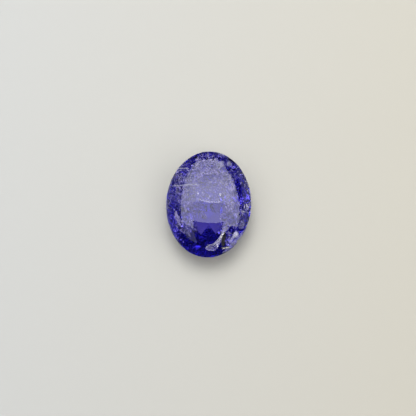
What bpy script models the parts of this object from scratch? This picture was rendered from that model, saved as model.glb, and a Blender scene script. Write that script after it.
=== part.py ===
"""An oval tanzanite gem with a domed top and a faceted base: one solid stone, resting on its small culet flat.

Metres, +Z up. The origin is under the middle of the stone, at the height of the culet flat, and the long axis is +Y.
"""

import math

import bmesh
import bpy
from mathutils import Matrix, Vector

MM = 0.001

# Driving dimensions
LENGTH = 10.0 * MM
WIDTH = 8.0 * MM
PAVILION_DEPTH = 2.50 * MM
GIRDLE_HEIGHT = 0.30 * MM
DOME_HEIGHT = 1.57 * MM
DOME_SWEEP = math.radians(60)

HALF_LENGTH = LENGTH / 2
HALF_WIDTH = WIDTH / 2
GIRDLE_TOP = PAVILION_DEPTH + GIRDLE_HEIGHT
DOME_SCALE = DOME_HEIGHT / (1 - math.cos(DOME_SWEEP))

# Fineness of the domed top and of the scoops
ROUND_STEPS = 96
DOME_RINGS = 20
SCOOP_DETAIL = 3

# Facets of the base: the azimuth and slope in degrees, and how far below the culet each would cross the middle,
# in mm
MAIN = (45, 27.5, 0.400)
CORNER = (42.9, 33.0, 0.698)
END = (90, 31.5, 0.797)
SIDE = (0, 32.5, 0.352)
RIM_SLOPE = 50
RIM_FACETS = 16
BASE_TURN = math.radians(3)
QUARTERS = ((1, 1), (-1, 1), (-1, -1), (1, -1))

# Flat breaks: planes that bound what broke away, each as a point in mm and the azimuth and tilt of its normal in
# degrees, which points to the side that broke away
BREAKS = {
    "feather_chip": (
        ((2.00, -3.00, 3.29), -40, 33),
        ((1.35, -3.15, 3.60), -30, 76),
    ),
    "step_chip": (
        ((2.67, -2.70, 2.98), -45, 10),
        ((2.40, -2.85, 3.06), -30, 70),
        ((2.75, -2.38, 3.06), -118, 74),
    ),
    "rim_chip": (
        ((3.35, -2.62, 2.80), -38, 76),
    ),
}
BREAK_REACH = 1.6 * MM
BREAK_RISE = 1.44 * MM

# Scoops: where each lies on the dome in mm, its half sizes outwards, along the rim and upwards, and its depth
SCOOPS = {
    "corner_nick": ((3.70, -1.80), (0.28, 0.26, 0.30), 0.12),
    "top_chip": ((1.00, 4.72), (0.35, 0.62, 0.40), 0.13),
    "side_nick": ((-3.62, 1.85), (0.20, 0.30, 0.25), 0.07),
}

SMOOTH_LIMIT = 12
TANZANITE = (0.055, 0.030, 0.40, 1.0)


def clear_scene():
    for obj in list(bpy.data.objects):
        bpy.data.objects.remove(obj, do_unlink=True)


def oval_point(angle, share=1.0):
    """A point of the outline, seen from above, or of the same oval made smaller by share."""
    return share * HALF_WIDTH * math.cos(angle), share * HALF_LENGTH * math.sin(angle)


def oval_reach(azimuth):
    """How far the outline reaches in this direction."""
    return math.hypot(HALF_WIDTH * math.cos(azimuth), HALF_LENGTH * math.sin(azimuth))


def dome_profile(step):
    """The share of the outline, and the height, of one ring of the dome, from the top at 0 to the girdle at 1."""
    turn = DOME_SWEEP * step
    share = math.sin(turn) / math.sin(DOME_SWEEP)
    return share, GIRDLE_TOP + DOME_SCALE * (math.cos(turn) - math.cos(DOME_SWEEP))


def on_dome(x, y):
    """The point of the dome above a point seen from above, and the way the dome faces there."""
    share = min(0.999, math.hypot(x / HALF_WIDTH, y / HALF_LENGTH))
    turn = math.asin(share * math.sin(DOME_SWEEP))
    height = GIRDLE_TOP + DOME_SCALE * (math.cos(turn) - math.cos(DOME_SWEEP))
    fall = DOME_SCALE * math.tan(turn) * math.sin(DOME_SWEEP) / share
    facing = Vector((fall * x / HALF_WIDTH ** 2, fall * y / HALF_LENGTH ** 2, 1))
    return Vector((x, y, height)), facing.normalized()


def ring(mesh, share, height):
    points = []
    for step in range(ROUND_STEPS):
        x, y = oval_point(2 * math.pi * step / ROUND_STEPS, share)
        points.append(mesh.verts.new((x, y, height)))
    return points


def join_rings(mesh, upper, lower):
    for step in range(ROUND_STEPS):
        after = (step + 1) % ROUND_STEPS
        mesh.faces.new((upper[step], lower[step], lower[after], upper[after]))


def domed_blank():
    """The dome on an upright oval wall, closed by a flat base at the height of the culet."""
    mesh = bmesh.new()
    top = mesh.verts.new((0, 0, GIRDLE_TOP + DOME_HEIGHT))
    rings = [ring(mesh, *dome_profile(step / DOME_RINGS)) for step in range(1, DOME_RINGS + 1)]
    first = rings[0]
    for step in range(ROUND_STEPS):
        mesh.faces.new((top, first[step], first[(step + 1) % ROUND_STEPS]))
    for upper, lower in zip(rings, rings[1:]):
        join_rings(mesh, upper, lower)
    foot = ring(mesh, 1.0, 0.0)
    join_rings(mesh, rings[-1], foot)
    mesh.faces.new(foot[::-1])
    return mesh


def cut_flat(mesh, point, facing):
    """Cuts away what lies past a plane, on the side that it faces, and closes the cut."""
    parts = mesh.verts[:] + mesh.edges[:] + mesh.faces[:]
    cut = bmesh.ops.bisect_plane(mesh, geom=parts, plane_co=point, plane_no=facing, clear_outer=True)
    edges = [item for item in cut["geom_cut"] if isinstance(item, bmesh.types.BMEdge)]
    if edges:
        bmesh.ops.contextual_create(mesh, geom=edges)


def cut_facet(mesh, azimuth, slope, drop):
    """Cuts one facet of the base, which rises outwards along its azimuth from drop below the middle of the culet."""
    rise = math.tan(slope)
    facing = Vector((rise * math.cos(azimuth), rise * math.sin(azimuth), -1)).normalized()
    cut_flat(mesh, (0, 0, -drop), facing)


def cut_base(mesh):
    """Four mains meet at the culet, with end, side and corner facets outside them and small facets at the rim."""
    for across, along in QUARTERS:
        for degrees, slope, drop in (MAIN, CORNER):
            turn = math.radians(degrees)
            azimuth = math.atan2(along * math.sin(turn), across * math.cos(turn)) + BASE_TURN
            cut_facet(mesh, azimuth, math.radians(slope), drop * MM)
    for half_turn in (0, math.pi):
        for degrees, slope, drop in (END, SIDE):
            cut_facet(mesh, math.radians(degrees) + half_turn + BASE_TURN, math.radians(slope), drop * MM)
    for step in range(RIM_FACETS):
        azimuth = 2 * math.pi * (step + 0.5) / RIM_FACETS
        slope = math.radians(RIM_SLOPE)
        cut_facet(mesh, azimuth, slope, oval_reach(azimuth) * math.tan(slope) - PAVILION_DEPTH)


def material():
    made = bpy.data.materials.new("tanzanite")
    made.use_nodes = True
    shader = made.node_tree.nodes["Principled BSDF"]
    shader.inputs["Base Color"].default_value = TANZANITE
    shader.inputs["Roughness"].default_value = 0.03
    shader.inputs["IOR"].default_value = 1.69
    shader.inputs["Transmission Weight"].default_value = 1.0
    return made


def object_from(mesh, name):
    data = bpy.data.meshes.new(name)
    mesh.to_mesh(data)
    mesh.free()
    made = bpy.data.objects.new(name, data)
    bpy.context.scene.collection.objects.link(made)
    return made


def tilted(azimuth, tilt):
    """A direction, from its azimuth and its tilt away from straight up, both in degrees."""
    turn, lean = math.radians(azimuth), math.radians(tilt)
    return Vector((math.sin(lean) * math.cos(turn), math.sin(lean) * math.sin(turn), math.cos(lean)))


def cutter_from(mesh, name):
    bmesh.ops.recalc_face_normals(mesh, faces=mesh.faces)
    cutter = object_from(mesh, name)
    cutter.hide_render = True
    cutter.display_type = "WIRE"
    return cutter


def break_cutter(name, planes):
    """A block that stands on the first plane, in the way it faces, and is bounded by the others."""
    point, azimuth, tilt = planes[0]
    mesh = bmesh.new()
    bmesh.ops.create_cube(mesh, size=2 * BREAK_REACH)
    centre = Vector(point) * MM + tilted(azimuth, tilt) * BREAK_RISE
    bmesh.ops.translate(mesh, vec=centre, verts=mesh.verts)
    for point, azimuth, tilt in planes:
        cut_flat(mesh, Vector(point) * MM, -tilted(azimuth, tilt))
    return cutter_from(mesh, name)


def scoop_cutter(name, at, half_sizes, depth):
    """A squashed ball that lies on the dome and dips into it."""
    mesh = bmesh.new()
    bmesh.ops.create_icosphere(mesh, subdivisions=SCOOP_DETAIL, radius=1.0)
    point, upwards = on_dome(at[0] * MM, at[1] * MM)
    around = Vector((0, 0, 1)).cross(upwards).normalized()
    turn = Matrix((around.cross(upwards), around, upwards)).transposed().to_4x4()
    sizes = Matrix.Diagonal(Vector(half_sizes) * MM).to_4x4()
    place = Matrix.Translation(point + upwards * (half_sizes[2] - depth) * MM)
    bmesh.ops.transform(mesh, matrix=place @ turn @ sizes, verts=mesh.verts)
    return cutter_from(mesh, name)


def stone():
    mesh = domed_blank()
    cut_base(mesh)
    bmesh.ops.recalc_face_normals(mesh, faces=mesh.faces)
    made = object_from(mesh, "tanzanite_cabochon")
    made.data.materials.append(material())
    made.data.shade_smooth()
    made.data.set_sharp_from_angle(angle=math.radians(SMOOTH_LIMIT))
    cutters = [break_cutter(name, planes) for name, planes in BREAKS.items()]
    cutters += [scoop_cutter(name, *shape) for name, shape in SCOOPS.items()]
    for cutter in cutters:
        chip = made.modifiers.new(cutter.name, "BOOLEAN")
        chip.operation = "DIFFERENCE"
        chip.object = cutter
    return made


clear_scene()
stone()
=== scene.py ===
import math
import random

import bmesh
import bpy
from mathutils import Matrix, Vector, noise

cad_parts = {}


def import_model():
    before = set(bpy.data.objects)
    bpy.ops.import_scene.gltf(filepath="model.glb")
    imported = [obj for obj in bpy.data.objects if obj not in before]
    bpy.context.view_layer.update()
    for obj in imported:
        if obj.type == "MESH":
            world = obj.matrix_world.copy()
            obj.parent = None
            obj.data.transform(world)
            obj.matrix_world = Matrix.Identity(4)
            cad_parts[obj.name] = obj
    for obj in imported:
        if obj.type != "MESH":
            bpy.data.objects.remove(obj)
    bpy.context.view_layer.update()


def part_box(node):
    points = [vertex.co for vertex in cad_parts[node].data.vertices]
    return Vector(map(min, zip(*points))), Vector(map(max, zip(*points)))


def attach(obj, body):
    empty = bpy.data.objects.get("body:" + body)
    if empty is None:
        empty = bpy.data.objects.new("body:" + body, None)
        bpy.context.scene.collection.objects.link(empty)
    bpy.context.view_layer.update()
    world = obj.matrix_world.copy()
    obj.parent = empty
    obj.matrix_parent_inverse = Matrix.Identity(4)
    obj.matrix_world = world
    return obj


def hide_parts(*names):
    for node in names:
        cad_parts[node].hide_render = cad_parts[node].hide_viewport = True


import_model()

MM = 0.001

# The stone's own sizes
HIGHEST = Vector(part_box("tanzanite_cabochon")[1])
HALF_WIDTH = 4.0 * MM
HALF_LENGTH = 5.0 * MM
PAVILION_DEPTH = 2.50 * MM
GIRDLE_HEIGHT = 0.30 * MM
DOME_HEIGHT = 1.57 * MM
DOME_SWEEP = math.radians(60)
GIRDLE_TOP = PAVILION_DEPTH + GIRDLE_HEIGHT
DOME_SCALE = DOME_HEIGHT / (1 - math.cos(DOME_SWEEP))

# Edges that turn by more than this, in degrees, are left sharp
SHARP_ANGLE = 8

# The base's facets: azimuth and slope in degrees, and how far below the culet each would cross the middle,
# in mm
BASE_TURN = math.radians(3)
QUARTERS = ((1, 1), (-1, 1), (-1, -1), (1, -1))
MAIN = (45, 27.5, 0.400)
CORNER = (42.9, 33.0, 0.698)
END = (90, 31.5, 0.797)
SIDE = (0, 32.5, 0.352)
RIM_SLOPE = 50
RIM_FACETS = 16

# Fineness of the domed top, of the scoops and of the flat breaks
ROUND_STEPS = 240
DOME_RINGS = 64
SCOOP_DETAIL = 4
BREAK_EDGE = 0.09 * MM
BREAK_ROUNDS = 6

# Flat breaks: planes that bound what broke away, each as a point in mm and the azimuth and tilt of its
# normal in degrees, which points to the side that broke away
BREAKS = {
    "feather_chip": (
        ((2.00, -3.00, 3.29), -40, 33),
        ((1.35, -3.15, 3.60), -30, 76),
    ),
    "step_chip": (
        ((2.67, -2.70, 2.98), -45, 10),
        ((2.40, -2.85, 3.06), -30, 70),
        ((2.75, -2.38, 3.06), -118, 74),
    ),
    "rim_chip": (
        ((3.35, -2.62, 2.80), -38, 76),
    ),
}
BREAK_REACH = 1.6 * MM
BREAK_RISE = 1.44 * MM

# Scoops: where each lies on the dome in mm, its half sizes outwards, along the rim and upwards, and its
# depth
SCOOPS = {
    "corner_nick": ((3.70, -1.80), (0.28, 0.26, 0.30), 0.12),
    "top_chip": ((1.00, 4.72), (0.35, 0.62, 0.40), 0.13),
    "side_nick": ((-3.62, 1.85), (0.20, 0.30, 0.25), 0.07),
}

# Ripples of the broken faces: the height of each in mm and how many go to a millimetre
BREAK_RIPPLES = ((0.012, 2.5), (0.003, 9))
SCOOP_RIPPLES = ((0.030, 3.5), (0.014, 11))
SCOOP_WAVE = 3.0

# Cracks and flakes keep off each scoop by this share of its half size, and above the base by this many margins
SCOOP_SPAN = 0.9
BASE_MARGIN = 1.2

# The crackle, as two lots of cracks: how many, the seed, the least and the greatest half size in mm, and by
# what power the small ones outnumber the large ones
CRACKLES = ((130, 19, 0.30, 0.62, 1.5), (1600, 7, 0.06, 0.30, 2.4))
CRACK_TRIES = 60
CRACK_GAP = 0.012 * MM
CRACK_BEND = 0.5

# A crack's middle stays this share of its half size, and this much more, away from the surface
CRACK_SPAN, CRACK_CLEARANCE = 0.8, 0.05 * MM

# A crack's mesh: up to which half size in mm it holds, the steps around the crack, and its rings
CRACK_MESHES = ((0.13, 6, (1.0,)), (0.28, 9, (0.6, 1.0)), (math.inf, 14, (0.35, 0.7, 1.0)))
LEAST_REACH, REACH_SPREAD = 0.75, 0.35
CRACK_WAVINESS, CRACK_WAVES = 0.10, 1.7
CRACK_TAPER = 0.92
SEED_SPREAD = 50

# A crack's lean from level in degrees, at the middle and how much more at the rim. How far it strays from
# that in the upper third, how much less it does so nearer the other end, and the shares of the half length
# between which that changes. How narrow it is.
CRACK_LEAN, RIM_LEAN = 46, 6
STRAY, STEADIER = 0.65, 0.25
STRAY_FADE = (0.1, 0.5)
LEAST_NARROW, NARROW_SPREAD = 0.25, 0.65

# Outside this share of the outline and below this share of the half length, some cracks are left out and the
# others are larger
OUTER_SHARE, OUTER_END = 0.6, 0.3
OUTER_LEFT_OUT, OUTER_GROWTH = 0.45, 1.6

# Further out than this share of the half width and below this share of the half length, the cracks are
# narrower and lie along the stone
BRUSHED_ACROSS, BRUSHED_END = 0.55, 0.2
BRUSHED_NARROW, BRUSHED_STRAY = 0.6, 0.25

# Where the cracks are dense: the density of each zone, and the shares of the half width or half length
# between which it fades in, or out where the name says so
TOP_FADE = (0.22, 0.42)
SIDE_CRACKS, SIDE_FADE, SIDE_END_FADE = 0.42, (0.45, 0.65), (-0.42, -0.25)
LEG_CRACKS, LEG_FADE, LEG_END_FADE, LEG_FADE_OUT = 0.55, (0.22, 0.35), (-0.66, -0.48), (0.60, 0.74)
MIDDLE_CRACKS, MIDDLE_FADE = 0.15, (-0.25, 0.05)
UPPER_CRACKS, UPPER_FADE = 0.25, (0.05, 0.2)
RIM_LOSS, RIM_FADE = 0.6, (0.84, 0.93)

# The same for the pale flakes
FLAKE_TOP_FADE = (0.20, 0.45)
FLAKE_RIM_LOSS, FLAKE_RIM_FADE = 0.5, (0.80, 0.95)
SIDE_FLAKES, FLAKE_SIDE_FADE, FLAKE_SIDE_END_FADE = 0.12, (0.30, 0.50), (-0.55, -0.35)
UPPER_FLAKES, FLAKE_UPPER_FADE = 0.40, (0.00, 0.15)
MIDDLE_FLAKES, FLAKE_MIDDLE_FADE = 0.08, (-0.3, 0.0)

# Clear lanes, where few cracks and flakes lie: two ends in mm and the half width
CLEAR_LANES = (
    ((1.81, 4.05), (2.92, 0.95), 0.62),
    ((-1.30, 4.45), (-2.70, 3.35), 0.45),
    ((-3.55, -2.00), (-2.30, -3.70), 0.85),
)
LANE_REMAINS = 0.12
LANE_FADE = (0.6, 1.1)

# Patches of uneven density: the least and the middle density, each wave's size and how many go to a
# millimetre, and where the waves start for each kind
PATCH_LEAST, PATCH_MIDDLE = 0.12, 0.62
PATCH_WAVES = ((0.75, 0.95), (0.45, 2.1))
CRACK_PATCHES, FLAKE_PATCHES = 2.5, 7.5

# Broad fractures, each a sheet between two edges. The mesh of each kind: the steps along it, the rows
# across it, and its roughness in mm
SHEET_GAP = 0.03 * MM
SHEET_WAVES = ((1, 4), (0.5, 11))
SHEET_WAVE_STEP = 2.3
SHEET_RIM, SHEET_BODY = 0.15, 0.85
FEATHER_MESH, FEATHER_SEED = (40, 10, 0.015), 4.0
BRIGHT_MESH, BRIGHT_SEED = (16, 12, 0.02), 20.0
STEEP_MESH, STEEP_SEED = (36, 8, 0.01), 9.0

# The white feather beside the break: its upper and lower edges in mm, seen from above, its dip in degrees,
# and how far under the dome it starts
FEATHER_UPPER = ((2.14, -1.76), (1.40, -2.67), (0.95, -3.28), (0.55, -3.66), (0.15, -3.80), (-0.10, -4.06))
FEATHER_LOWER = ((2.20, -1.80), (1.64, -2.62), (1.32, -3.20), (1.10, -3.70), (0.75, -4.20), (0.05, -4.26))
FEATHER_DIP = 46
FEATHER_DEPTH = 0.05

# Bright fractures: the upper and the lower edge in mm, seen from above, the height of the first corner, or
# None for a little under the dome, and the azimuth and dip of the plane in degrees
BRIGHT_FRACTURES = {
    "white_patch": (((2.40, -2.50), (2.60, -2.98)), ((2.80, -2.40), (2.92, -2.70)), 3.00, -33, 43),
    "right_upper": (((3.50, 0.24), (3.53, -0.36)), ((3.70, 0.20), (3.72, -0.30)), None, -4, 50),
    "low_glint": (((1.42, -3.98), (2.12, -3.84)), ((1.50, -4.14), (2.18, -3.98)), None, -62, 44),
}
BRIGHT_DEPTH = 0.10

# Steep fractures: the upper and the lower edge in mm, seen from above, and the dip in degrees
STEEP_FRACTURES = (
    (
        ((-3.75, 1.62), (-2.98, 1.58), (-2.23, 1.72), (-1.20, 1.80)),
        ((-3.74, 1.56), (-2.98, 1.50), (-2.23, 1.64), (-1.20, 1.74)),
        82,
    ),
    (
        ((2.95, -0.38), (3.25, -0.47), (3.55, -0.53), (3.82, -0.60)),
        ((2.97, -0.44), (3.25, -0.53), (3.55, -0.60), (3.80, -0.67)),
        80,
    ),
)
STEEP_DEPTH = 0.04

# Pale flakes in rows that follow arcs. Lengths are in mm and angles in radians, and a pair is a least and a
# greatest value.
FLAKES = 1600
FLAKE_SEED = 11
FLAKE_TRIES = 40
FLAKE_THICKNESS = 0.006
ARC_RADIUS, ARC_SPREAD = 0.10, 0.8
ARC_LARGEST = 0.9
ARC_SWING = (0.5, 1.6)
ARC_TILT = 0.35
ARC_FLAKES, ARC_MORE_FLAKES, ARC_STRAY_FLAKES = 4, 14, 3
ARC_LOWEST, ARC_RISE = 0.35, 0.6
ARC_STRAY, ARC_BAND = 0.3, (0.92, 1.08)
ARC_CLEARANCE = 0.10 * MM
ARC_FLAKE_LENGTH, ARC_FLAKE_WIDTH = (0.025, 0.085), (0.010, 0.022)
LEAST_FLAKE_SHARE = 0.02

# Bruises: patches packed with pale flakes, each as its middle and half sizes in mm, its turn in degrees,
# how far under the surface it lies and how many flakes it has
BRUISES = {
    "white_patch": ((2.67, -2.70), (0.36, 0.42), -20, 0.34, 60),
    "mottled_area": ((2.05, -3.10), (0.26, 0.70), -12, 0.36, 55),
    "upper_patch": ((0.83, 3.83), (0.46, 0.42), 0, 0.12, 190),
    "grey_patch": ((1.68, 3.88), (0.26, 0.24), 0, 0.12, 130),
    "right_patch": ((3.15, -1.75), (0.34, 0.42), 0, 0.30, 120),
}
BRUISE_REACH, BRUISE_LOBES, BRUISE_LOBE_SIZE = 0.85, 3, 0.15
BRUISE_THICKNESS = 0.25
BRUISE_TILT = 0.3
BRUISE_CLEARANCE = 0.08 * MM
BRUISE_FLAKE_LENGTH, BRUISE_FLAKE_NARROW = (0.03, 0.08), 0.45

# Seams: lines of pale flakes where a fracture meets the dome, each as its path in mm and its number of
# flakes
SEAMS = {
    "upper_left": (((-3.75, 1.62), (-2.98, 1.58), (-2.23, 1.72), (-1.20, 1.80)), 300),
    "top_left": (((-2.94, 3.24), (-2.50, 3.26), (-2.07, 3.29)), 120),
    "right": (((3.00, -0.42), (3.34, -0.50), (3.78, -0.58)), 90),
}
SEAM_STEP = 0.02
SEAM_SPREAD = 0.02
SEAM_DEPTH = (0.03, 0.16)
SEAM_TURN = 0.5
SEAM_CLEARANCE = 0.02 * MM
SEAM_FLAKE_LENGTH, SEAM_FLAKE_WIDTH = (0.025, 0.07), 0.024

# The dark flake beside the feather: its corners seen from above and, in mm, how far it lies under the floor
# of the chip, half its thickness and how far its edge wanders
DARK_FLAKE = (
    (1.66, -2.41),
    (1.74, -2.80),
    (1.73, -3.29),
    (1.66, -3.83),
    (1.41, -3.78),
    (1.38, -3.30),
    (1.45, -2.83),
)
DARK_DEPTH = 0.07
DARK_THICKNESS = 0.006
DARK_STEPS = 42
DARK_WANDER, DARK_WAVES = 0.05, 0.9
DARK_SEEDS = (3.1, 8.7)

# The stone's own material. For the two kinds of flake: how many grains go to a metre, the dull and the bright
# colour, and the least and the greatest roughness
STONE_IOR = 1.69
ABSORPTION_COLOUR = (0.17, 0.08, 0.79, 1)
ABSORPTION_DENSITY = 560
PALE_FLAKE = (1 / (1.4 * MM), (0.60, 0.60, 0.84), (0.84, 0.85, 0.93), (0.35, 0.55))
# the second kind is the dark flake under the chip, a plain dark sheet
DARK_FLAKE_LOOK = (1 / (0.5 * MM), (0.010, 0.010, 0.014), (0.035, 0.035, 0.045), (0.35, 0.60))
GRAIN_DETAIL = 3
TONE_FROM, TONE_TO = 0.35, 0.65

# The paper: its colour at the left and at the right of the tinted stretch, whose warmer right end is painted
# warm light,
# and a painted glow: light that the paper itself emits under the stone, in place of the light that the stone
# gathers
FLOOR_LEVEL = -0.04 * MM
PAPER_LEFT = (0.318, 0.320, 0.310)
# the warmer right colour is painted warm light from that side
PAPER_RIGHT_PAINTED_WARM = (0.316, 0.305, 0.268)
PAPER_STRETCH = 40 * MM
PAPER_ROUGHNESS = 0.9
PAPER_GLOSS = 0.1
# painted glow: the colour that the paper emits under the stone, though it is no lamp
PAINTED_GLOW_COLOUR = (0.30, 0.28, 0.46)
PAINTED_GLOW_REACH = 0.85
PAINTED_GLOW_FULL = 0.35

# Soft boxes over the stone: the low and high corners as shares of the height, which is itself a share of
# PANEL_HEIGHT, the radiance, and the turn in degrees. Boxes that overlap add up.
PANEL_HEIGHT = 0.30
PANELS = (
    ("panel_main", (-1.22, -0.365), (1.12, 1.05), 1.0, 2.0),
    ("panel_far", (-1.22, 1.05), (0.88, 2.0), 1.0, 1.6),
    ("panel_step_1", (1.12, -0.365), (1.30, 0.70), 1.0, 2.0),
    ("panel_step_2", (1.30, -0.365), (1.46, 0.42), 1.0, 2.0),
    ("panel_step_3", (1.46, -0.365), (1.62, 0.16), 1.0, 2.0),
    ("panel_step_4", (1.62, -0.365), (1.80, -0.10), 1.0, 2.0),
    ("panel_left", (-1.22, -0.58), (-0.49, -0.365), 1.0, 2.0),
    ("panel_left_low", (-1.22, -1.32), (-0.49, -0.58), 1.0, 0.45),
    ("panel_right", (0.53, -0.75), (1.22, -0.365), 1.0, 2.0),
    ("panel_right_low", (0.53, -1.6), (1.22, -0.75), 1.0, 1.1),
    ("panel_outer", (1.22, -0.95), (2.1, -0.365), 1.0, 2.0),
    ("panel_warm", (-0.95, 0.04), (1.05, 0.65), 0.99, 0.40),
    ("panel_bright", (-0.75, 0.05), (0.90, 0.50), 0.98, 0.40),
    ("panel_middle", (-0.55, 0.06), (0.72, 0.38), 0.97, 0.40),
    ("strip_left", (-0.360, 0.068), (-0.040, 0.090), 0.96, 3.0, -10),
    ("strip_right", (-0.044, 0.042), (0.275, 0.064), 0.96, 3.0, 1.5),
    ("strip_end", (0.270, 0.056), (0.325, 0.078), 0.96, 3.0, 26),
    ("spot_left", (-0.37, 0.185), (-0.31, 0.24), 0.95, 4.4),
    ("spot_right", (0.31, 0.185), (0.37, 0.24), 0.95, 4.4),
)

# Upright soft boxes: the side, the distance, the reach along Y, the reach in height, and the radiance
WALLS = (
    ("wall_left", -1, 0.6, (-0.32, 0.6), (0.0, 0.44), 0.10),
    ("wall_right", 1, 0.7, (-0.32, 0.6), (0.0, 0.27), 0.35),
)
KEY_AZIMUTH, KEY_ELEVATION = 98, 62
KEY_DISTANCE, KEY_SIZE, KEY_ENERGY = 0.40, 0.22, 1.6

# The room around: its low band and what is above, each as where it is full and its colour
LOW_BAND = (0.15, (0.07, 0.07, 0.07, 1))
UPPER_ROOM = (0.25, (0.03, 0.03, 0.032, 1))

# The camera looks straight down, turned a little, from this height over the girdle's lower edge
CAMERA_HEIGHT = 0.100
FRAME_WIDTH = 39.4 * MM
SENSOR_WIDTH = 36
CAMERA_TURN = math.radians(3)
CAMERA_SHIFT = (-0.057 * MM, -0.33 * MM, 0)
NEAREST_SEEN = 0.001

BOUNCES = 24
GLOSSY_BOUNCES = 12


def oval_point(angle, share=1.0):
    """A point of the outline, seen from above, or of the same oval made smaller by share."""
    return share * HALF_WIDTH * math.cos(angle), share * HALF_LENGTH * math.sin(angle)


def oval_reach(azimuth):
    """How far the outline reaches in this direction."""
    return math.hypot(HALF_WIDTH * math.cos(azimuth), HALF_LENGTH * math.sin(azimuth))


def share_at(x, y):
    """The share of the outline that a point lies on, from 0 in the middle to 1 at the rim."""
    return math.hypot(x / HALF_WIDTH, y / HALF_LENGTH)


def dome_profile(step):
    """The outline's share and the height of one ring of the dome, from the top at 0 to the girdle at 1."""
    turn = DOME_SWEEP * step
    share = math.sin(turn) / math.sin(DOME_SWEEP)
    return share, GIRDLE_TOP + DOME_SCALE * (math.cos(turn) - math.cos(DOME_SWEEP))


def dome_height(x, y):
    turn = math.asin(min(1.0, share_at(x, y)) * math.sin(DOME_SWEEP))
    return GIRDLE_TOP + DOME_SCALE * (math.cos(turn) - math.cos(DOME_SWEEP))


def dome_normal(x, y):
    share = max(1e-6, min(0.999, share_at(x, y)))
    fall = DOME_SCALE * math.tan(math.asin(share * math.sin(DOME_SWEEP))) * math.sin(DOME_SWEEP) / share
    return Vector((fall * x / HALF_WIDTH ** 2, fall * y / HALF_LENGTH ** 2, 1)).normalized()


def tilted(azimuth, tilt):
    """A direction from its azimuth and its tilt away from straight up, in degrees."""
    turn, lean = math.radians(azimuth), math.radians(tilt)
    return Vector((math.sin(lean) * math.cos(turn), math.sin(lean) * math.sin(turn), math.cos(lean)))


def fade(edge, value):
    """A smooth step from 0 to 1 between the two values of edge."""
    low, high = edge
    t = max(0.0, min(1.0, (value - low) / (high - low)))
    return t * t * (3 - 2 * t)


def along(points, share):
    """A point of a smooth line through the points, from the first at 0 to the last at 1."""
    place = share * (len(points) - 1)
    first = min(int(place), len(points) - 2)
    t = place - first
    corner = [Vector(points[max(0, min(len(points) - 1, first + step))]) for step in (-1, 0, 1, 2)]
    bend = 2 * corner[1] + t * (corner[2] - corner[0])
    bend += t * t * (2 * corner[0] - 5 * corner[1] + 4 * corner[2] - corner[3])
    bend += t ** 3 * (3 * corner[1] - corner[0] - 3 * corner[2] + corner[3])
    return bend / 2


def waves(sizes, here, start):
    """Noise at a point, as a sum of waves, each of its own size and number to a millimetre."""
    return sum(size * noise.noise(here * number + start) for size, number in sizes)


def linked(data, name):
    made = bpy.data.objects.new(name, data)
    bpy.context.scene.collection.objects.link(made)
    return made


def object_from(mesh, name):
    data = bpy.data.meshes.new(name)
    mesh.to_mesh(data)
    mesh.free()
    return linked(data, name)


def ring(mesh, share, height):
    points = []
    for step in range(ROUND_STEPS):
        x, y = oval_point(2 * math.pi * step / ROUND_STEPS, share)
        points.append(mesh.verts.new((x, y, height)))
    return points


def join_rings(mesh, upper, lower):
    for step in range(ROUND_STEPS):
        after = (step + 1) % ROUND_STEPS
        mesh.faces.new((upper[step], lower[step], lower[after], upper[after]))


def domed_blank():
    """The dome on an upright oval wall, closed by a flat base at the height of the culet."""
    mesh = bmesh.new()
    top = mesh.verts.new((0, 0, GIRDLE_TOP + DOME_HEIGHT))
    rings = [ring(mesh, *dome_profile(step / DOME_RINGS)) for step in range(1, DOME_RINGS + 1)]
    first = rings[0]
    for step in range(ROUND_STEPS):
        mesh.faces.new((top, first[step], first[(step + 1) % ROUND_STEPS]))
    for upper, lower in zip(rings, rings[1:]):
        join_rings(mesh, upper, lower)
    foot = ring(mesh, 1.0, 0.0)
    join_rings(mesh, rings[-1], foot)
    mesh.faces.new(foot[::-1])
    return mesh


def cut_flat(mesh, point, facing):
    """Cuts away what lies past a plane, on the side that it faces, and closes the cut."""
    parts = mesh.verts[:] + mesh.edges[:] + mesh.faces[:]
    cut = bmesh.ops.bisect_plane(mesh, geom=parts, plane_co=point, plane_no=facing, clear_outer=True)
    edges = [item for item in cut["geom_cut"] if isinstance(item, bmesh.types.BMEdge)]
    if edges:
        bmesh.ops.contextual_create(mesh, geom=edges)


def base_facets():
    """Each facet as its rise along X and along Y, and its height in metres where it crosses the middle."""
    found = []

    def add(azimuth, slope, drop):
        rise = math.tan(math.radians(slope))
        found.append((rise * math.cos(azimuth), rise * math.sin(azimuth), -drop))

    for across, lengthwise in QUARTERS:
        for degrees, slope, drop in (MAIN, CORNER):
            turn = math.radians(degrees)
            azimuth = math.atan2(lengthwise * math.sin(turn), across * math.cos(turn))
            add(azimuth + BASE_TURN, slope, drop * MM)
    for half_turn in (0, math.pi):
        for degrees, slope, drop in (END, SIDE):
            add(math.radians(degrees) + half_turn + BASE_TURN, slope, drop * MM)
    for step in range(RIM_FACETS):
        azimuth = 2 * math.pi * (step + 0.5) / RIM_FACETS
        add(azimuth, RIM_SLOPE, oval_reach(azimuth) * math.tan(math.radians(RIM_SLOPE)) - PAVILION_DEPTH)
    return found


FACETS = base_facets()


def cut_base(mesh):
    for rise_x, rise_y, level in FACETS:
        cut_flat(mesh, (0, 0, level), Vector((rise_x, rise_y, -1)).normalized())


def base_height(x, y):
    return max(0.0, max(rise_x * x + rise_y * y + level for rise_x, rise_y, level in FACETS))


def broken_away(point, margin):
    """Whether a point lies in one of the chips, or closer to one than the margin."""
    for planes in BREAKS.values():
        if all((point - Vector(at) * MM).dot(tilted(*facing)) > -margin for at, *facing in planes):
            return True
    for (x, y), half_sizes, _ in SCOOPS.values():
        if math.hypot(point.x - x * MM, point.y - y * MM) < max(half_sizes) * MM * SCOOP_SPAN + margin:
            return True
    return False


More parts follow.
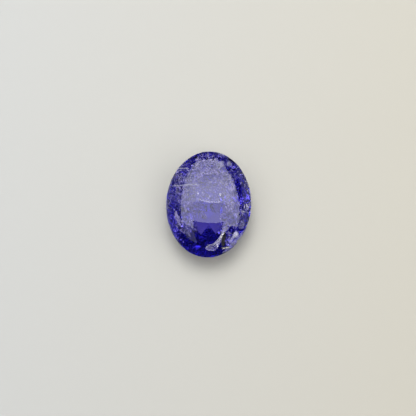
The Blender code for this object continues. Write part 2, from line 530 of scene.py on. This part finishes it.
def inside(point, margin):
    """Whether a point lies in the stone, at least the margin away from its surface."""
    if math.hypot(point.x / (HALF_WIDTH - margin), point.y / (HALF_LENGTH - margin)) > 1:
        return False
    if broken_away(point, margin):
        return False
    lowest = base_height(point.x, point.y) + margin * BASE_MARGIN
    return lowest < point.z < dome_height(point.x, point.y) - margin


def break_cutter(name, planes):
    """A block bounded by the flat breaks, whose faces have fine ripples."""
    first_point, *first_facing = planes[0]
    mesh = bmesh.new()
    bmesh.ops.create_cube(mesh, size=2 * BREAK_REACH)
    centre = Vector(first_point) * MM + tilted(*first_facing) * BREAK_RISE
    bmesh.ops.translate(mesh, vec=centre, verts=mesh.verts)
    for point, *facing in planes:
        cut_flat(mesh, Vector(point) * MM, -tilted(*facing))
    bmesh.ops.triangulate(mesh, faces=mesh.faces)
    for _ in range(BREAK_ROUNDS):
        long_edges = [edge for edge in mesh.edges if edge.calc_length() > BREAK_EDGE]
        if not long_edges:
            break
        bmesh.ops.subdivide_edges(mesh, edges=long_edges, cuts=1)
        bmesh.ops.triangulate(mesh, faces=mesh.faces)
    mesh.normal_update()
    for vertex in mesh.verts:
        vertex.co += vertex.normal * waves(BREAK_RIPPLES, vertex.co / MM, Vector(first_point)) * MM
    bmesh.ops.recalc_face_normals(mesh, faces=mesh.faces)
    return object_from(mesh, name)


def scoop_cutter(name, at, half_sizes, depth):
    """A squashed ball that lies on the dome, dips into it and has fine ripples."""
    mesh = bmesh.new()
    bmesh.ops.create_icosphere(mesh, subdivisions=SCOOP_DETAIL, radius=1.0)
    x, y = at[0] * MM, at[1] * MM
    upwards = dome_normal(x, y)
    centre = Vector((x, y, dome_height(x, y))) + upwards * (half_sizes[2] - depth) * MM
    around = Vector((0, 0, 1)).cross(upwards).normalized()
    axes = Matrix((around.cross(upwards), around, upwards)).transposed()
    start = Vector((*at, SCOOP_WAVE))
    for vertex in mesh.verts:
        here = Vector([value * size for value, size in zip(vertex.co, half_sizes)])
        vertex.co = centre + axes @ ((here + vertex.co * waves(SCOOP_RIPPLES, here, start)) * MM)
    bmesh.ops.recalc_face_normals(mesh, faces=mesh.faces)
    return object_from(mesh, name)


def cut_chips(made):
    cutters = [break_cutter(name, planes) for name, planes in BREAKS.items()]
    cutters += [scoop_cutter(name, *shape) for name, shape in SCOOPS.items()]
    for cutter in cutters:
        chip = made.modifiers.new(cutter.name, "BOOLEAN")
        chip.operation = "DIFFERENCE"
        chip.object = cutter
    cut = bpy.data.meshes.new_from_object(made.evaluated_get(bpy.context.evaluated_depsgraph_get()))
    made.modifiers.clear()
    made.data = cut
    for cutter in cutters:
        bpy.data.objects.remove(cutter, do_unlink=True)


class Shells:
    """Closed thin voids, gathered as one list of points and faces that turn towards the void."""

    def __init__(self):
        self.points = []
        self.faces = []

    def crack(self, centre, normal, spin, half_sizes, bend, chance):
        """An uneven disc, bent across its two half sizes, whose two walls are a gap apart."""
        _, steps, rings = next(kind for kind in CRACK_MESHES if half_sizes[0] < kind[0] * MM)
        turn = normal.to_track_quat("Z", "Y").to_matrix() @ Matrix.Rotation(spin, 3, "Z")
        reach = [LEAST_REACH + REACH_SPREAD * chance.random() for _ in range(steps)]
        wave = Vector((chance.random(), chance.random(), chance.random())) * SEED_SPREAD
        sides = []
        for side in (1, -1):
            rows = []
            middle = len(self.points)
            self.points.append(centre + turn @ Vector((0, 0, side * CRACK_GAP / 2)))
            for share in rings:
                row = []
                for step in range(steps):
                    angle = 2 * math.pi * step / steps
                    u = share * reach[step] * math.cos(angle)
                    v = share * reach[step] * math.sin(angle)
                    lift = bend * (u * u - 0.5 * v * v) * half_sizes[0]
                    bump = noise.noise(Vector((u, v, 0)) * CRACK_WAVES + wave)
                    lift += CRACK_WAVINESS * half_sizes[0] * bump
                    thick = CRACK_GAP / 2 * math.sqrt(max(0.0, 1 - CRACK_TAPER * share * share))
                    here = Vector((u * half_sizes[0], v * half_sizes[1], lift + side * thick))
                    row.append(len(self.points))
                    self.points.append(centre + turn @ here)
                rows.append(row)
            sides.append((middle, rows))
        for side, (middle, rows) in zip((1, -1), sides):
            for step in range(steps):
                after = (step + 1) % steps
                self.face(side, middle, rows[0][step], rows[0][after])
                for inner, outer in zip(rows, rows[1:]):
                    self.face(side, inner[step], outer[step], outer[after], inner[after])
        upper, lower = sides[0][1][-1], sides[1][1][-1]
        for step in range(steps):
            after = (step + 1) % steps
            self.face(1, upper[step], lower[step], lower[after], upper[after])

    def face(self, side, *corners):
        """The faces turn inwards, towards the void, so the upper wall's are listed clockwise."""
        self.faces.append(corners[::-1] if side > 0 else corners)

    def sheet(self, upper, lower, height, steps, rows, rough, seed):
        """A broad crack between two edges in mm, seen from above. height(point, s) gives its height."""
        start_wave = Vector((seed, SHEET_WAVE_STEP * seed, 0))
        grid = []
        for step in range(steps + 1):
            s = step / steps
            start, end = along(upper, s), along(lower, s)
            line = []
            for row in range(rows + 1):
                flat = start.lerp(end, row / rows)
                z = height(flat, s) + rough * waves(SHEET_WAVES, Vector((flat.x, flat.y, 0)), start_wave)
                line.append(Vector((flat.x, flat.y, z)) * MM)
            grid.append(line)
        first = len(self.points)
        for side in (1, -1):
            for step, line in enumerate(grid):
                for row, point in enumerate(line):
                    swell = math.sin(math.pi * step / steps) ** 0.5 * math.sin(math.pi * row / rows) ** 0.5
                    thick = SHEET_GAP / 2 * (SHEET_RIM + SHEET_BODY * swell)
                    self.points.append(point + Vector((0, 0, side * thick)))
        wide = rows + 1
        other = wide * (steps + 1)

        def corner(layer, step, row):
            return first + layer * other + step * wide + row

        for step in range(steps):
            for row in range(rows):
                square = [(step, row), (step + 1, row), (step + 1, row + 1), (step, row + 1)]
                self.faces.append(tuple(corner(0, *item) for item in square))
                self.faces.append(tuple(corner(1, *item) for item in square[::-1]))
        border = [(step, 0) for step in range(steps)]
        border += [(steps, row) for row in range(rows)]
        border += [(step, rows) for step in range(steps, 0, -1)]
        border += [(0, row) for row in range(rows, 0, -1)]
        for here, after in zip(border, border[1:] + border[:1]):
            self.faces.append((corner(1, *here), corner(1, *after), corner(0, *after), corner(0, *here)))


def clearness(x, y):
    """How much of the crackle is left here: 1 outside the clear lanes and less inside them."""
    here = Vector((x, y)) / MM
    left = 1.0
    for start, end, width in CLEAR_LANES:
        start, end = Vector(start), Vector(end)
        step = max(0.0, min(1.0, (here - start).dot(end - start) / (end - start).length_squared))
        away = (here - start.lerp(end, step)).length / width
        left = min(left, LANE_REMAINS + (1 - LANE_REMAINS) * fade(LANE_FADE, away))
    return left


def patchiness(x, y, seed):
    """Uneven density, in patches about a millimetre across."""
    here = Vector((x / MM, y / MM, seed))
    return max(PATCH_LEAST, min(1.0, PATCH_MIDDLE + waves(PATCH_WAVES, here, Vector())))


def crack_share(x, y):
    """How dense the crackle is here, from 0 in the clear lower part to 1 in the upper third."""
    across = abs(x) / HALF_WIDTH
    lengthwise = y / HALF_LENGTH
    top = fade(TOP_FADE, lengthwise)
    sides = SIDE_CRACKS * fade(SIDE_FADE, across) * fade(SIDE_END_FADE, lengthwise)
    legs = LEG_CRACKS * fade(LEG_FADE, across) * fade(LEG_END_FADE, lengthwise)
    legs *= 1 - fade(LEG_FADE_OUT, across)
    middle = MIDDLE_CRACKS * fade(MIDDLE_FADE, lengthwise) + UPPER_CRACKS * fade(UPPER_FADE, lengthwise)
    rim = 1 - RIM_LOSS * fade(RIM_FADE, share_at(x, y))
    return max(top, sides, legs, middle) * clearness(x, y) * patchiness(x, y, CRACK_PATCHES) * rim


def flake_share(x, y):
    """How dense the pale flakes are here, seen from above."""
    across = abs(x) / HALF_WIDTH
    lengthwise = y / HALF_LENGTH
    top = fade(FLAKE_TOP_FADE, lengthwise) * (1 - FLAKE_RIM_LOSS * fade(FLAKE_RIM_FADE, share_at(x, y)))
    sides = SIDE_FLAKES * fade(FLAKE_SIDE_FADE, across) * fade(FLAKE_SIDE_END_FADE, lengthwise)
    middle = UPPER_FLAKES * fade(FLAKE_UPPER_FADE, lengthwise)
    middle += MIDDLE_FLAKES * fade(FLAKE_MIDDLE_FADE, lengthwise)
    return min(1.0, max(top, sides, middle)) * clearness(x, y) * patchiness(x, y, FLAKE_PATCHES)


def lengthwise_spin(normal, chance):
    """The spin that lays a crack's long axis along the stone, give or take a little."""
    turn = normal.to_track_quat("Z", "Y").to_matrix()
    lengthwise = turn.transposed() @ Vector((0, 1, 0))
    return math.atan2(lengthwise.y, lengthwise.x) + chance.gauss(0, BRUSHED_STRAY)


def crackle(shells, count, seed, least, most, power):
    """One lot of cracks. They lean outwards, so that from above they mirror the paper beyond the rim."""
    chance = random.Random(seed)
    made = 0
    for _ in range(count * CRACK_TRIES):
        if made == count:
            break
        x = (2 * chance.random() - 1) * HALF_WIDTH
        y = (2 * chance.random() - 1) * HALF_LENGTH
        z = chance.random() * HIGHEST.z
        if chance.random() > crack_share(x, y):
            continue
        centre = Vector((x, y, z))
        size = (least + (most - least) * chance.random() ** power) * MM
        if share_at(x, y) > OUTER_SHARE and y < OUTER_END * HALF_LENGTH:
            if chance.random() < OUTER_LEFT_OUT:
                continue
            size *= OUTER_GROWTH
        if not inside(centre, size * CRACK_SPAN + CRACK_CLEARANCE):
            continue
        outwards = Vector((x / HALF_WIDTH ** 2, y / HALF_LENGTH ** 2, 0)).normalized()
        lean = math.radians(CRACK_LEAN + RIM_LEAN * share_at(x, y))
        lower = 1 - fade(STRAY_FADE, y / HALF_LENGTH)
        normal = outwards * math.sin(lean) + Vector((0, 0, math.cos(lean)))
        stray = Vector((chance.gauss(0, 1), chance.gauss(0, 1), chance.gauss(0, 1)))
        normal += stray * (STRAY - STEADIER * lower)
        normal.normalize()
        narrow = LEAST_NARROW + NARROW_SPREAD * chance.random()
        spin = chance.random() * math.tau
        if abs(x) > BRUSHED_ACROSS * HALF_WIDTH and y < BRUSHED_END * HALF_LENGTH:
            spin = lengthwise_spin(normal, chance)
            narrow *= BRUSHED_NARROW
        bend = chance.uniform(-CRACK_BEND, CRACK_BEND)
        shells.crack(centre, normal, spin, (size, size * narrow), bend, chance)
        made += 1


def under_dome(point, depth):
    """The height in mm that lies this far under the dome, at a point in mm seen from above."""
    return dome_height(point.x * MM, point.y * MM) / MM - depth


def feather(shells):
    fall = math.tan(math.radians(FEATHER_DIP))

    def height(flat, s):
        start = along(FEATHER_UPPER, s)
        return under_dome(start, FEATHER_DEPTH) - fall * (flat - start).length

    shells.sheet(FEATHER_UPPER, FEATHER_LOWER, height, *FEATHER_MESH, FEATHER_SEED)


def steep_fractures(shells):
    for number, (upper, lower, dip) in enumerate(STEEP_FRACTURES):
        fall = math.tan(math.radians(dip))

        def height(flat, s):
            start = along(upper, s)
            return under_dome(start, STEEP_DEPTH) - fall * (flat - start).length

        shells.sheet(upper, lower, height, *STEEP_MESH, STEEP_SEED + number)


def bright_fractures(shells):
    for number, (upper, lower, level, azimuth, dip) in enumerate(BRIGHT_FRACTURES.values()):
        first = Vector(upper[0])
        fall = math.tan(math.radians(dip))
        way = Vector((math.cos(math.radians(azimuth)), math.sin(math.radians(azimuth))))
        if level is None:
            level = under_dome(first, BRIGHT_DEPTH)

        def height(flat, s):
            return level - fall * (flat - first).dot(way)

        shells.sheet(upper, lower, height, *BRIGHT_MESH, BRIGHT_SEED + number)


def gem_material():
    made = bpy.data.materials.new("tanzanite")
    made.use_nodes = True
    nodes = made.node_tree.nodes
    shader = nodes["Principled BSDF"]
    shader.inputs["Base Color"].default_value = (1, 1, 1, 1)
    shader.inputs["Roughness"].default_value = 0.0
    shader.inputs["IOR"].default_value = STONE_IOR
    shader.inputs["Transmission Weight"].default_value = 1.0
    volume = nodes.new("ShaderNodeVolumeAbsorption")
    volume.inputs["Color"].default_value = ABSORPTION_COLOUR
    volume.inputs["Density"].default_value = ABSORPTION_DENSITY
    made.node_tree.links.new(volume.outputs["Volume"], nodes["Material Output"].inputs["Volume"])
    return made


def stone():
    """The stone's surface and, in the same mesh, the voids inside it."""
    mesh = domed_blank()
    cut_base(mesh)
    bmesh.ops.recalc_face_normals(mesh, faces=mesh.faces)
    made = object_from(mesh, "tanzanite")
    cut_chips(made)
    shells = Shells()
    for lot in CRACKLES:
        crackle(shells, *lot)
    feather(shells)
    steep_fractures(shells)
    bright_fractures(shells)
    inner = bpy.data.meshes.new("inner")
    inner.from_pydata(shells.points, [], shells.faces)
    mesh = bmesh.new()
    mesh.from_mesh(made.data)
    mesh.from_mesh(inner)
    mesh.to_mesh(made.data)
    mesh.free()
    made.data.materials.clear()
    made.data.materials.append(gem_material())
    made.data.shade_smooth()
    made.data.set_sharp_from_angle(angle=math.radians(SHARP_ANGLE))
    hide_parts("tanzanite_cabochon")
    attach(made, "root")


class Flakes:
    """Thin pale flakes, gathered as one list of points and faces."""

    def __init__(self):
        self.points = []
        self.faces = []
        self.made = 0

    def add(self, centre, lengthwise, sideways, length, width):
        """One flake: a flattened eight-sided body, closed, from its half length and half width in metres."""
        upwards = lengthwise.cross(sideways).normalized()
        first = len(self.points)
        half_sizes = (length, width, FLAKE_THICKNESS * MM)
        for axis, size in zip((lengthwise, sideways, upwards), half_sizes):
            self.points.extend((centre + axis * size, centre - axis * size))
        for across in (0, 1):
            for side in (2, 3):
                for level in (4, 5):
                    corners = (first + across, first + side, first + level)
                    self.faces.append(corners if (across + side + level) % 2 == 0 else corners[::-1])
        self.made += 1


def fingerprints(flakes, chance):
    """Healed fractures: pale flakes in short rows that follow arcs."""
    for _ in range(FLAKES * FLAKE_TRIES):
        if flakes.made >= FLAKES:
            break
        x = (2 * chance.random() - 1) * HALF_WIDTH
        y = (2 * chance.random() - 1) * HALF_LENGTH
        if chance.random() > flake_share(x, y):
            continue
        level = chance.random()
        radius = (ARC_RADIUS + ARC_SPREAD * chance.random() ** 2) * MM
        start = chance.random() * math.tau
        swing = chance.uniform(*ARC_SWING)
        crosswise = chance.random() < 0.5
        tilt = Vector((chance.gauss(0, ARC_TILT), chance.gauss(0, ARC_TILT), 1)).normalized()
        turn = tilt.to_track_quat("Z", "Y").to_matrix()
        more = ARC_MORE_FLAKES * chance.random() * radius / (ARC_LARGEST * MM)
        number = int(ARC_FLAKES + more + ARC_STRAY_FLAKES * chance.random())
        base, dome = base_height(x, y), dome_height(x, y)
        centre = Vector((x, y, base + (dome - base) * (ARC_LOWEST + ARC_RISE * level)))
        for step in range(number):
            angle = start + swing * (step + chance.uniform(-ARC_STRAY, ARC_STRAY)) / number
            outwards = turn @ Vector((math.cos(angle), math.sin(angle), 0))
            forwards = turn @ Vector((-math.sin(angle), math.cos(angle), 0))
            here = centre + outwards * radius * chance.uniform(*ARC_BAND)
            if not inside(here, ARC_CLEARANCE) or flake_share(here.x, here.y) < LEAST_FLAKE_SHARE:
                continue
            axes = (outwards, forwards) if crosswise else (forwards, outwards)
            length = chance.uniform(*ARC_FLAKE_LENGTH) * MM
            flakes.add(here, *axes, length, chance.uniform(*ARC_FLAKE_WIDTH) * MM)


def bruise(flakes, at, half_sizes, turn, depth, count, chance):
    lean = math.radians(turn)
    for _ in range(count):
        angle = chance.random() * math.tau
        lobes = BRUISE_REACH + BRUISE_LOBE_SIZE * math.sin(BRUISE_LOBES * angle + at[0])
        reach = math.sqrt(chance.random()) * lobes
        u, v = reach * math.cos(angle) * half_sizes[0], reach * math.sin(angle) * half_sizes[1]
        x = (at[0] + u * math.cos(lean) - v * math.sin(lean)) * MM
        y = (at[1] + u * math.sin(lean) + v * math.cos(lean)) * MM
        here = Vector((x, y, dome_height(x, y) - (depth + BRUISE_THICKNESS * chance.random()) * MM))
        if not inside(here, BRUISE_CLEARANCE):
            continue
        facing = chance.random() * math.tau
        lengthwise = Vector((math.cos(facing), math.sin(facing), chance.gauss(0, BRUISE_TILT))).normalized()
        upwards = Vector((chance.gauss(0, BRUISE_TILT), chance.gauss(0, BRUISE_TILT), 1))
        sideways = lengthwise.cross(upwards).normalized()
        length = chance.uniform(*BRUISE_FLAKE_LENGTH) * MM
        flakes.add(here, lengthwise, sideways, length, length * BRUISE_FLAKE_NARROW)


def seam(flakes, path, count, chance):
    """Pale flakes along a path just under the dome, most of them nearly in line with it."""
    for _ in range(count):
        share = chance.random()
        place = along(path, share)
        before, after = along(path, max(0.0, share - SEAM_STEP)), along(path, min(1.0, share + SEAM_STEP))
        forwards = (after - before).normalized()
        x = (place.x + chance.gauss(0, SEAM_SPREAD)) * MM
        y = (place.y + chance.gauss(0, SEAM_SPREAD)) * MM
        here = Vector((x, y, dome_height(x, y) - chance.uniform(*SEAM_DEPTH) * MM))
        if not inside(here, SEAM_CLEARANCE):
            continue
        lengthwise = Vector((forwards.x, forwards.y, 0))
        lengthwise.rotate(Matrix.Rotation(chance.gauss(0, SEAM_TURN), 3, "Z"))
        sideways = Vector((-lengthwise.y, lengthwise.x, 0))
        flakes.add(here, lengthwise, sideways, chance.uniform(*SEAM_FLAKE_LENGTH) * MM, SEAM_FLAKE_WIDTH * MM)


def uneven_material(name, scale, dull, bright, roughness):
    """Colour and roughness that change from place to place, between two values of each."""
    made = bpy.data.materials.new(name)
    made.use_nodes = True
    nodes, links = made.node_tree.nodes, made.node_tree.links
    shader = nodes["Principled BSDF"]
    where = nodes.new("ShaderNodeTexCoord")
    grain = nodes.new("ShaderNodeTexNoise")
    grain.inputs["Scale"].default_value = scale
    grain.inputs["Detail"].default_value = GRAIN_DETAIL
    tone = nodes.new("ShaderNodeValToRGB")
    tone.color_ramp.elements[0].position = TONE_FROM
    tone.color_ramp.elements[0].color = (*dull, 1)
    tone.color_ramp.elements[1].position = TONE_TO
    tone.color_ramp.elements[1].color = (*bright, 1)
    rough = nodes.new("ShaderNodeMapRange")
    rough.inputs["To Min"].default_value, rough.inputs["To Max"].default_value = roughness
    links.new(where.outputs["Object"], grain.inputs["Vector"])
    links.new(grain.outputs["Fac"], tone.inputs["Fac"])
    links.new(grain.outputs["Fac"], rough.inputs["Value"])
    links.new(tone.outputs["Color"], shader.inputs["Base Color"])
    links.new(rough.outputs["Result"], shader.inputs["Roughness"])
    return made


def healed_fractures():
    chance = random.Random(FLAKE_SEED)
    flakes = Flakes()
    fingerprints(flakes, chance)
    for patch in BRUISES.values():
        bruise(flakes, *patch, chance)
    for line in SEAMS.values():
        seam(flakes, *line, chance)
    data = bpy.data.meshes.new("healed_fractures")
    data.from_pydata(flakes.points, [], flakes.faces)
    made = linked(data, "healed_fractures")
    data.materials.append(uneven_material("healed_fracture", *PALE_FLAKE))
    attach(made, "root")


def dark_flake():
    """A thin dark flake, closed, level with the floor of the chip above it."""
    at, *facing = BREAKS["feather_chip"][0]
    slope = tilted(*facing)
    mesh = bmesh.new()
    layers = []
    for thick in (DARK_THICKNESS, -DARK_THICKNESS):
        layer = []
        for step in range(DARK_STEPS):
            place = along(DARK_FLAKE + DARK_FLAKE[:1], step / DARK_STEPS)
            wander = [noise.noise(Vector((step * DARK_WAVES, seed, 0))) for seed in DARK_SEEDS]
            place += Vector(wander) * DARK_WANDER
            drop = (place.x - at[0]) * slope.x + (place.y - at[1]) * slope.y
            height = at[2] - drop / slope.z - DARK_DEPTH + thick
            layer.append(mesh.verts.new(Vector((place.x, place.y, height)) * MM))
        layers.append(layer)
    upper, lower = layers
    mesh.faces.new(upper)
    mesh.faces.new(lower[::-1])
    for step in range(DARK_STEPS):
        after = (step + 1) % DARK_STEPS
        mesh.faces.new((upper[step], lower[step], lower[after], upper[after]))
    bmesh.ops.recalc_face_normals(mesh, faces=mesh.faces)
    made = object_from(mesh, "dark_chip_flake")
    made.data.materials.append(uneven_material("dark_flake_surface", *DARK_FLAKE_LOOK))
    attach(made, "root")


def paper_material():
    """Paper whose tint changes from left to right, the warmer right being painted warm light, with a painted
    glow under the stone: the paper emits there, in place of the light that the stone gathers.
    """
    made = bpy.data.materials.new("paper")
    made.use_nodes = True
    nodes, links = made.node_tree.nodes, made.node_tree.links
    shader = nodes["Principled BSDF"]
    shader.inputs["Roughness"].default_value = PAPER_ROUGHNESS
    shader.inputs["Specular IOR Level"].default_value = PAPER_GLOSS
    shader.inputs["Emission Strength"].default_value = 1.0
    where = nodes.new("ShaderNodeTexCoord")
    # painted warm light: the tint grows warmer towards the right, in place of a warmer light from that side
    painted_warm_tint_place = nodes.new("ShaderNodeMapping")
    painted_warm_tint_place.inputs["Location"].default_value = (0.5, 0, 0)
    painted_warm_tint_place.inputs["Scale"].default_value = (1 / PAPER_STRETCH, 1, 1)
    painted_warm_tint_split = nodes.new("ShaderNodeSeparateXYZ")
    painted_warm_tint = nodes.new("ShaderNodeValToRGB")
    painted_warm_tint.color_ramp.elements[0].color = (*PAPER_LEFT, 1)
    painted_warm_tint.color_ramp.elements[1].color = (*PAPER_RIGHT_PAINTED_WARM, 1)
    links.new(where.outputs["Object"], painted_warm_tint_place.inputs["Vector"])
    links.new(painted_warm_tint_place.outputs["Vector"], painted_warm_tint_split.inputs[0])
    links.new(painted_warm_tint_split.outputs["X"], painted_warm_tint.inputs["Fac"])
    links.new(painted_warm_tint.outputs["Color"], shader.inputs["Base Color"])
    # painted glow: an emission patch under the stone stands in for the light that the stone focuses on the
    # paper
    painted_glow_place = nodes.new("ShaderNodeMapping")
    painted_glow_width, painted_glow_length = PAINTED_GLOW_REACH * HALF_WIDTH, PAINTED_GLOW_REACH * HALF_LENGTH
    painted_glow_place.inputs["Scale"].default_value = (1 / painted_glow_width, 1 / painted_glow_length, 1)
    painted_glow = nodes.new("ShaderNodeTexGradient")
    painted_glow.gradient_type = "SPHERICAL"
    light = nodes.new("ShaderNodeValToRGB")
    light.color_ramp.elements[0].color = (0, 0, 0, 1)
    light.color_ramp.elements[1].position = PAINTED_GLOW_FULL
    light.color_ramp.elements[1].color = (*PAINTED_GLOW_COLOUR, 1)
    links.new(where.outputs["Object"], painted_glow_place.inputs["Vector"])
    links.new(painted_glow_place.outputs["Vector"], painted_glow.inputs["Vector"])
    links.new(painted_glow.outputs["Fac"], light.inputs["Fac"])
    links.new(light.outputs["Color"], shader.inputs["Emission Color"])
    return made


def floor():
    mesh = bmesh.new()
    bmesh.ops.create_grid(mesh, x_segments=1, y_segments=1, size=1.0)
    made = object_from(mesh, "floor")
    made.location.z = FLOOR_LEVEL
    made.data.materials.append(paper_material())


def soft_box(name, width, depth, radiance, centre):
    """A rectangular lamp with the same radiance all over, which the camera doesn't see directly."""
    light = bpy.data.lights.new(name, "AREA")
    light.shape = "RECTANGLE"
    light.size = width
    light.size_y = depth
    light.energy = radiance * math.pi * light.size * light.size_y
    made = linked(light, name)
    made.location = centre
    made.visible_camera = False
    return made


def panel(name, low, high, height, radiance, turn=0):
    """A soft box facing down, from its low and high corners as shares of its height."""
    width, depth = (high[0] - low[0]) * height, (high[1] - low[1]) * height
    centre = ((low[0] + high[0]) / 2 * height, (low[1] + high[1]) / 2 * height, height)
    soft_box(name, width, depth, radiance, centre).rotation_euler.z = math.radians(turn)


def wall(name, side, distance, reach, rise, radiance):
    """An upright soft box that faces the stone from the left, side -1, or from the right, side 1."""
    centre = (side * distance, (reach[0] + reach[1]) / 2, (rise[0] + rise[1]) / 2)
    made = soft_box(name, reach[1] - reach[0], rise[1] - rise[0], radiance, centre)
    made.rotation_euler = Vector((-side, 0, 0)).to_track_quat("-Z", "Y").to_euler()


def key():
    """A soft lamp beyond the top of the view. It shades the paper and isn't mirrored in the stone."""
    light = bpy.data.lights.new("key", "AREA")
    light.shape = "DISK"
    light.size = KEY_SIZE
    light.energy = KEY_ENERGY
    made = linked(light, "key")
    way = tilted(KEY_AZIMUTH, 90 - KEY_ELEVATION)
    made.location = way * KEY_DISTANCE
    made.rotation_euler = (-way).to_track_quat("-Z", "Y").to_euler()
    made.visible_camera = False
    made.visible_glossy = False
    made.visible_transmission = False


def world():
    """A dark room with a slightly lighter band low down."""
    made = bpy.data.worlds.new("studio")
    made.use_nodes = True
    nodes, links = made.node_tree.nodes, made.node_tree.links
    where = nodes.new("ShaderNodeTexCoord")
    split = nodes.new("ShaderNodeSeparateXYZ")
    ramp = nodes.new("ShaderNodeValToRGB")
    for element, (place, colour) in zip(ramp.color_ramp.elements, (LOW_BAND, UPPER_ROOM)):
        element.position = place
        element.color = colour
    links.new(where.outputs["Generated"], split.inputs[0])
    links.new(split.outputs["Z"], ramp.inputs["Fac"])
    links.new(ramp.outputs["Color"], nodes["Background"].inputs["Color"])
    bpy.context.scene.world = made


def camera():
    lens = bpy.data.cameras.new("camera")
    lens.sensor_width = SENSOR_WIDTH
    lens.lens = SENSOR_WIDTH * CAMERA_HEIGHT / FRAME_WIDTH
    lens.clip_start = NEAREST_SEEN
    made = linked(lens, "camera")
    shift = Matrix.Rotation(CAMERA_TURN, 3, "Z") @ Vector(CAMERA_SHIFT)
    made.location = shift + Vector((0, 0, CAMERA_HEIGHT + PAVILION_DEPTH))
    made.rotation_euler = (0, 0, CAMERA_TURN)
    bpy.context.scene.camera = made


def view_settings():
    scene = bpy.context.scene
    scene.view_settings.view_transform = "Standard"
    scene.cycles.max_bounces = BOUNCES
    scene.cycles.transmission_bounces = BOUNCES
    scene.cycles.glossy_bounces = GLOSSY_BOUNCES


view_settings()
stone()
healed_fractures()
dark_flake()
floor()
for name, low, high, height, *rest in PANELS:
    panel(name, low, high, height * PANEL_HEIGHT, *rest)
key()
for box in WALLS:
    wall(*box)
world()
camera()
